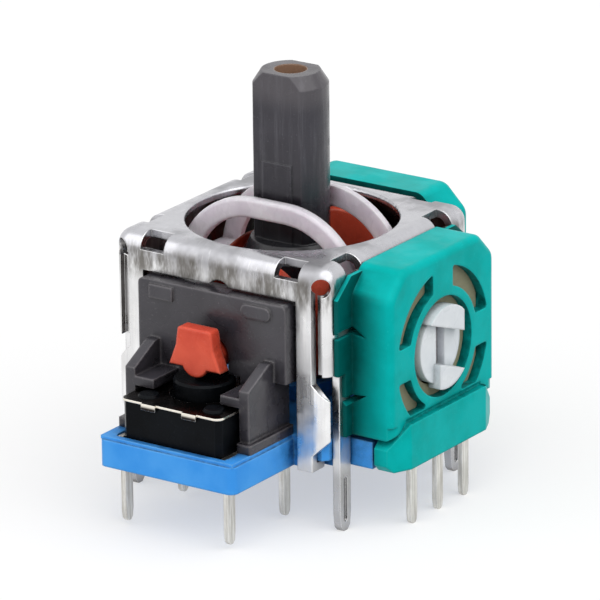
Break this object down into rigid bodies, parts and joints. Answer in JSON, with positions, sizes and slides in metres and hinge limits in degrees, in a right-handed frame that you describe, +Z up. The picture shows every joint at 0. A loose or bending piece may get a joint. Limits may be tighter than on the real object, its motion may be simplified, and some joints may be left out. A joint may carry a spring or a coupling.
{
  "type": "analog stick module",
  "caption": "Two-axis analog stick with rotary sensors, self-centring gimbal and a push switch, in a folded steel frame for board mounting.",
  "frame": {"origin": "the stick's axis at rest, on the underside of the base, which seats on the circuit board", "axes": "+Z up the stick, -Y towards the push switch, +X towards the right sensor, +Y towards the rear sensor"},
  "size_m": [0.0168, 0.0219, 0.023],
  "materials": {
    "tin_steel": "tin-plated, satin",
    "blue_plastic": "moulded, semi-matte",
    "grey_plastic": "moulded, semi-matte",
    "stick_plastic": "moulded, satin",
    "black_plastic": "moulded, semi-matte",
    "cover_steel": "bright edges",
    "spring_steel": "bright",
    "pin_tin": "tin-plated",
    "milky_plastic": "translucent, satin",
    "orange_plastic": "moulded, satin",
    "green_plastic": "moulded, satin",
    "tan_board": "matte laminate",
    "white_plastic": "moulded, glossy"
  },
  "bodies": {
    "housing": {"shell": "tin_steel", "base_plate": "blue_plastic", "switch_bracket": "grey_plastic", "switch_body": "black_plastic", "switch_cover": "cover_steel", "switch_dome": "spring_steel", "switch_terminal_left": "pin_tin", "switch_terminal_right": "pin_tin", "return_spring": "spring_steel", "right_sensor_housing": "green_plastic", "right_sensor_board": "tan_board", "right_sensor_pin_1": "pin_tin", "right_sensor_pin_2": "pin_tin", "right_sensor_pin_3": "pin_tin", "rear_sensor_housing": "green_plastic", "rear_sensor_board": "tan_board", "rear_sensor_pin_1": "pin_tin", "rear_sensor_pin_2": "pin_tin", "rear_sensor_pin_3": "pin_tin"},
    "rear_drive": {"rear_rotor": "white_plastic", "rear_wiper": "spring_steel"},
    "rocker": {"lower_rocker": "orange_plastic"},
    "stick": {"stick": "stick_plastic"},
    "yoke": {"upper_yoke": "milky_plastic", "right_rotor": "white_plastic", "right_wiper": "spring_steel"},
    "plunger": {"switch_plunger": "black_plastic"},
    "seat": {"spring_seat": "milky_plastic"}
  },
  "joints": [
    {"name": "tilt_side", "type": "hinge", "parent": "housing", "child": "rear_drive", "pos_m": [0, 0.0077, 0.00575], "axis": [0, 1, 0], "range_deg": [-18, 18], "stiffness_Nm_per_rad": 0.006},
    {"name": "press", "type": "hinge", "parent": "rear_drive", "child": "rocker", "pos_m": [0, 0.0077, 0.00575], "axis": [1, 0, 0], "range_deg": [0, 1.25], "stiffness_Nm_per_rad": 0.8},
    {"name": "tilt_fore", "type": "hinge", "parent": "rocker", "child": "stick", "pos_m": [0, 0, 0.00575], "axis": [1, 0, 0], "range_deg": [-18, 18], "stiffness_Nm_per_rad": 0.006},
    {"name": "yoke_turn", "type": "hinge", "parent": "housing", "child": "yoke", "pos_m": [0, 0, 0.00575], "axis": [1, 0, 0], "range_deg": [-18, 18]},
    {"name": "plunger_press", "type": "slide", "parent": "housing", "child": "plunger", "axis": [0, 0, -1], "range_m": [0, 0.00036], "deforming": ["switch_dome"]},
    {"name": "seat_press", "type": "slide", "parent": "housing", "child": "seat", "axis": [0, 0, -1], "range_m": [0, 0.00018], "deforming": ["return_spring"]}
  ],
  "couplings": [
    {"joint": "yoke_turn", "follows": "tilt_fore", "ratio": 1},
    {"joint": "plunger_press", "follows": "press", "m_per_rad": 0.01605},
    {"joint": "seat_press", "follows": "press", "m_per_rad": 0.0077}
  ]
}
